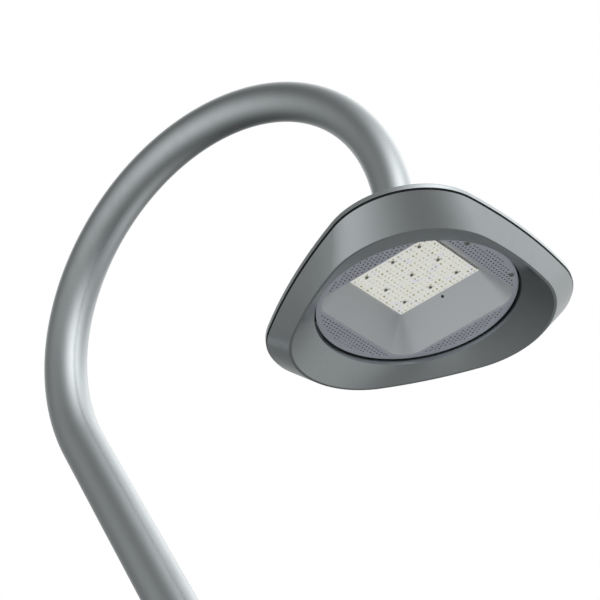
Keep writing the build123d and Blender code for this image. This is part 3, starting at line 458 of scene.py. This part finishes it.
def mark(x, y):
    """Soft round mark at a place in the cell: one inside its radius, nought outside."""
    dx = math_node(lens_marks, "SUBTRACT", across, x)
    dy = math_node(lens_marks, "SUBTRACT", along, y)
    square = math_node(lens_marks, "ADD", math_node(lens_marks, "MULTIPLY", dx, dx),
                       math_node(lens_marks, "MULTIPLY", dy, dy))
    reach = math_node(lens_marks, "SQRT", square)
    return remap(lens_marks, reach, MARK_RADIUS * MARK_OUTER, MARK_RADIUS * MARK_INNER)


marks = 0.0
for side_x in (-1, 1):
    for side_y in (-1, 1):
        one = mark(side_x * MARK_OUT, side_y * MARK_OUT)
        marks = math_node(lens_marks, "MAXIMUM", one, marks)
uneven = remap(lens_marks, noise(lens_marks, place(lens_marks), 130.0, 1.0), 0.35, 0.65, FAINTEST, 1.0)
strength = math_node(lens_marks, "MULTIPLY", marks, uneven)
# Painted reflection: noise lays lilac-white patches over the plastic, standing for the surround mirrored
# in the lenses.
painted_reflection = remap(lens_marks, noise(lens_marks, place(lens_marks), 75.0, 1.0), 0.55, 0.75)
reflection_tinted = mix_colour(lens_marks, painted_reflection, marks_in.outputs["Plastic"], tint(0.74, 0.74, 0.84))
marked = mix_colour(lens_marks, strength, reflection_tinted, marks_in.outputs["Mark"])
lens_marks.links.new(marked, marks_out.inputs["Colour"])
lens_marks.links.new(remap(lens_marks, uneven, FAINTEST, 1.0, 0.12, 0.22), marks_out.inputs["Roughness"])

lens_plastic = bpy.data.materials.new("lens_plastic")
lens_plastic.use_nodes = True
lens_tree = lens_plastic.node_tree
lens_shader = lens_tree.nodes["Principled BSDF"]
lens_colours = {"Plastic": tint(0.80, 0.80, 0.74), "Mark": tint(0.30, 0.29, 0.13)}
lens_effect = place_group(lens_tree, lens_marks, lens_colours)
lens_tree.links.new(lens_effect.outputs["Colour"], lens_shader.inputs["Base Color"])
lens_tree.links.new(lens_effect.outputs["Roughness"], lens_shader.inputs["Roughness"])
# Painted light: a faint glow in the plate's own colour brightens the lens plate.
lens_tree.links.new(lens_effect.outputs["Colour"], lens_shader.inputs["Emission Color"])
lens_shader.inputs["Emission Strength"].default_value = 0.5
lens_shader.inputs["Coat Weight"].default_value = 0.4
print("lens cells", round(cell_x / MM, 2), "by", round(cell_y / MM, 2), "mm")

# %% [markdown]
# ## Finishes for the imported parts
#
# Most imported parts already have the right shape, so they stay and only get a finish.

# %% Which part has which finish
finishes = {
    post_paint: ["base_section", "base_gussets", "shoulder_ring", "mast_shaft", "joint_ring",
                 "crook_neck", "service_door", "door_knuckles", "mast_knuckles"],
    head_paint: ["head_cover", "shroud"],
    plate_paint: ["perforated_plate"],
    tray_paint: ["recess_tray", "tray_hinge_leaf"],
    seal_rubber: ["cover_gasket", "lens_gasket", "door_seal", "tip_grommet", "vent_plug"],
    lens_plastic: ["lens_plate"],
    chip_yellow: ["led_chips"],
    board_white: ["led_board"],
    sink_aluminium: ["heat_sink"],
    zinc: ["base_plate", "joint_sleeve", "board_brackets", "terminal_plate", "tray_hinge_bracket",
           "earth_stud"],
    housing_white: ["driver", "surge_protector", "fuse_box_cover"],
    housing_grey: ["fuse_box", "gear_board", "cable_gland"],
    terminal_block: ["fuse_holder", "mast_terminals", "head_terminals"],
    cable_sheath: ["supply_cable"],
}
named = [name for names in finishes.values() for name in names]
finishes[steel] = [name for name in nodes if name not in named]
for material, names in finishes.items():
    for name in names:
        nodes[name].data.materials.clear()
        nodes[name].data.materials.append(material)
print("steel parts", finishes[steel])

# %% [markdown]
# ## The neck
#
# The neck is one conical tube, rolled to a crook. Its centre line is made of five runs: straight
# up out of the joint, a bend back, a straight lean, the crook over the top and a short tail
# down to the head. A circle is carried along that line. Its radius grows with the length of tube
# measured from the head, as a drawn conical column does, and the circle's plane is turned with
# the line, which stays in one plane, so one angle is enough.

# %% Centre line of the neck
CROOK_RADIUS = 330 * MM
LEAN = math.radians(21)
STRAIGHT = 420 * MM
BEND_RADIUS = 400 * MM
SOCKET = 160 * MM
TIP_HEIGHT = 90 * MM
CROOK_HEIGHT = 206 * MM
TIP_DIAMETER = 60 * MM
TAPER = 0.0087
WALL = 3 * MM
SPIGOT = 60 * MM


def arc(centre, radius, start, end, count):
    """Points on an arc in the plane of the neck and their headings: centre plus radius times
    (cosine, sine) of the angle; the heading is square to that."""
    angle = np.linspace(start, end, count)
    place_on = np.stack([centre[0] + radius * np.cos(angle), centre[1] + radius * np.sin(angle)], axis=1)
    sense = math.copysign(1.0, end - start)
    heading = sense * np.stack([-np.sin(angle), np.cos(angle)], axis=1)
    return place_on, heading


def run(start, end, count):
    """Points on a straight run and their headings."""
    share = np.linspace(0.0, 1.0, count)[:, None]
    start, end = np.array(start), np.array(end)
    heading = (end - start) / np.linalg.norm(end - start)
    return start + share * (end - start), np.repeat(heading[None], count, axis=0)


crook_centre = np.array([head[0] - CROOK_RADIUS, head[2] + CROOK_HEIGHT])
crook, crook_heading = arc(crook_centre, CROOK_RADIUS, math.pi + LEAN, 0.0, 150)
lean_foot = crook[0] - STRAIGHT * crook_heading[0]
bend_centre = np.array([-BEND_RADIUS, lean_foot[1] - BEND_RADIUS * math.sin(LEAN)])
pieces = [
    run((0.0, bend_centre[1] - SOCKET), (0.0, bend_centre[1]), 8),
    arc(bend_centre, BEND_RADIUS, 0.0, LEAN, 24),
    run(lean_foot, crook[0], 20),
    (crook, crook_heading),
    run(crook[-1], (head[0], head[2] + TIP_HEIGHT + SPIGOT), 6),
    run((head[0], head[2] + TIP_HEIGHT + SPIGOT), (head[0], head[2] + TIP_HEIGHT), 3),
]
line = np.concatenate([piece[0][:-1] for piece in pieces] + [pieces[-1][0][-1:]])
heading = np.concatenate([piece[1][:-1] for piece in pieces] + [pieces[-1][1][-1:]])
steps = np.linalg.norm(np.diff(line, axis=0), axis=1)
length_left = np.concatenate([np.cumsum(steps[::-1])[::-1], [0.0]])
tube_run = np.maximum(length_left - SPIGOT, 0.0)
tube_radius = (TIP_DIAMETER + TAPER * tube_run) / 2
foot_radius = float(tube_radius[0]) / MM
print("neck length", round(float(length_left[0]), 3), "m, foot radius", round(foot_radius, 2), "mm")


# %% Tube round the centre line
ROUND = 96
INNER_STEP = 4


def carried_circle(middle, direction, radius, count):
    """Circles round the points of a line in the plane y = 0: centre plus radius times (cosine of
    the angle times the side direction plus its sine times y). The side direction is square to
    the heading and stays in the plane."""
    angle = np.linspace(0.0, 2 * math.pi, count, endpoint=False)[None, :, None]
    side = np.stack([direction[:, 1], np.zeros(len(direction)), -direction[:, 0]], axis=1)[:, None, :]
    across_plane = np.array([0.0, 1.0, 0.0])[None, None, :]
    centre = np.stack([middle[:, 0], np.zeros(len(middle)), middle[:, 1]], axis=1)[:, None, :]
    return centre + radius[:, None, None] * (np.cos(angle) * side + np.sin(angle) * across_plane)


outside = carried_circle(line, heading, tube_radius, ROUND)
back = slice(None, None, -INNER_STEP)
inside = carried_circle(line[back], heading[back], tube_radius[back] - WALL, ROUND)
neck_grid = np.concatenate([outside, inside])
neck_tube = surface("neck_tube", neck_grid, wrap_rows=True)
stands_for(neck_tube, "post", "post_paint", post_paint, "crook_neck")

# %% [markdown]
# ## The lens plate
#
# A moulded plate with nine by nine cells. Nine cells hold a screw and the others a lens with two
# soft peaks side by side, the shape that spreads light along a road. The underside is a height
# over a grid: two overlapping caps for each lens, with the larger height kept at each point.

# %% Height of the lens field
SAMPLES = 18
PLATE_THICKNESS = 2 * MM
LENS_RISE = 1.4 * MM
PEAK_OFFSET = 2.2 * MM
PEAK_RADIUS = 3.6 * MM
count = LENS_CELLS * SAMPLES + 1
ticks_x = np.linspace(lens_low.x, lens_high.x, count)
ticks_y = np.linspace(lens_low.y, lens_high.y, count)
grid_x, grid_y = np.meshgrid(ticks_x, ticks_y)
local_x = (grid_x - lens_low.x) % cell_x - cell_x / 2
local_y = (grid_y - lens_low.y) % cell_y - cell_y / 2
column = np.minimum((grid_x - lens_low.x) / cell_x, LENS_CELLS - 1e-6).astype(int)
row = np.minimum((grid_y - lens_low.y) / cell_y, LENS_CELLS - 1e-6).astype(int)
has_lens = ~((column % 3 == 1) & (row % 3 == 1))


def cap(x, y, offset):
    """Height of one round cap: the rise times the root of one minus distance squared over radius
    squared, and nought outside the radius."""
    inside_cap = 1 - ((x - offset) ** 2 + y ** 2) / PEAK_RADIUS ** 2
    return LENS_RISE * np.sqrt(np.clip(inside_cap, 0.0, None))


two_caps = np.maximum(cap(local_x, local_y, -PEAK_OFFSET), cap(local_x, local_y, PEAK_OFFSET))
lens_height = two_caps * has_lens
under = lens_high.z - PLATE_THICKNESS - lens_height
under_grid = np.stack([grid_x, grid_y, under], axis=2)
top_grid = np.stack([grid_x, grid_y, np.full_like(grid_x, lens_high.z)], axis=2)[::-1]
lens_rows = np.concatenate([under_grid, top_grid])
lens_field = surface("lens_field", lens_rows, wrap_rows=True, wrap_columns=False)
stands_for(lens_field, "optic_tray", "lens_plastic", lens_plastic, "lens_plate")

# %% [markdown]
# ## Floor and light
#
# A plain pale floor and a white surround that the camera sees. Everything else sees a dark
# surround with five soft round patches of light, as in a studio with large lamps: each patch
# gives the satin paint one of its long soft highlights.

# %% Floor
floor_mesh = bpy.data.meshes.new("floor")
HALF = 12.0
floor_corners = [(-HALF, -HALF, 0), (HALF, -HALF, 0), (HALF, HALF, 0), (-HALF, HALF, 0)]
floor_mesh.from_pydata(floor_corners, [], [(0, 1, 2, 3)])
floor = bpy.data.objects.new("floor", floor_mesh)
bpy.context.scene.collection.objects.link(floor)
floor_finish = finish("floor_finish", grain, {"Colour": tint(0.80, 0.80, 0.79), "Roughness": 0.7,
                                              "Tone": 0.03, "Size": 60.0})
floor_mesh.materials.append(floor_finish)
floor.visible_glossy = False
floor.visible_diffuse = False

# %% Surround
world = bpy.data.worlds.new("studio")
world.use_nodes = True
sky = world.node_tree
seen = sky.nodes["Background"]
seen.inputs["Color"].default_value = tint(1.0, 1.0, 1.0)
lit = sky.nodes.new("ShaderNodeBackground")
direction = sky.nodes.new("ShaderNodeTexCoord").outputs["Generated"]


def glow(azimuth, rise, focus, strength):
    """Soft round patch of light in the surround: strength times e to the power of focus times
    (cosine of the angle to the patch's middle, minus one)."""
    azimuth, rise = math.radians(azimuth), math.radians(rise)
    middle = (math.cos(rise) * math.cos(azimuth), math.cos(rise) * math.sin(azimuth), math.sin(rise))
    dot = sky.nodes.new("ShaderNodeVectorMath")
    dot.operation = "DOT_PRODUCT"
    dot.inputs[1].default_value = middle
    sky.links.new(direction, dot.inputs[0])
    drop = math_node(sky, "MULTIPLY_ADD", dot.outputs["Value"], focus, -focus)
    return math_node(sky, "MULTIPLY", math_node(sky, "EXPONENT", drop), strength)


patches = [
    glow(-6, 22, 5.4, 2.55),
    glow(80, 42, 6.2, 1.6),
    glow(-115, -18, 2.6, 1.02),
    glow(63, -40, 5.0, 0.75),
    glow(145, 43, 9.0, 0.7),
]
total = patches[0]
for patch in patches[1:]:
    total = math_node(sky, "ADD", total, patch)
sky.links.new(grey_colour(sky, total), lit.inputs["Color"])
rays = sky.nodes.new("ShaderNodeLightPath")
blend = sky.nodes.new("ShaderNodeMixShader")
sky.links.new(rays.outputs["Is Camera Ray"], blend.inputs[0])
sky.links.new(lit.outputs[0], blend.inputs[1])
sky.links.new(seen.outputs[0], blend.inputs[2])
sky.links.new(blend.outputs[0], sky.nodes["World Output"].inputs["Surface"])
bpy.context.scene.world = world
bpy.context.scene.view_settings.view_transform = "Standard"
print("soft patches", len(patches))
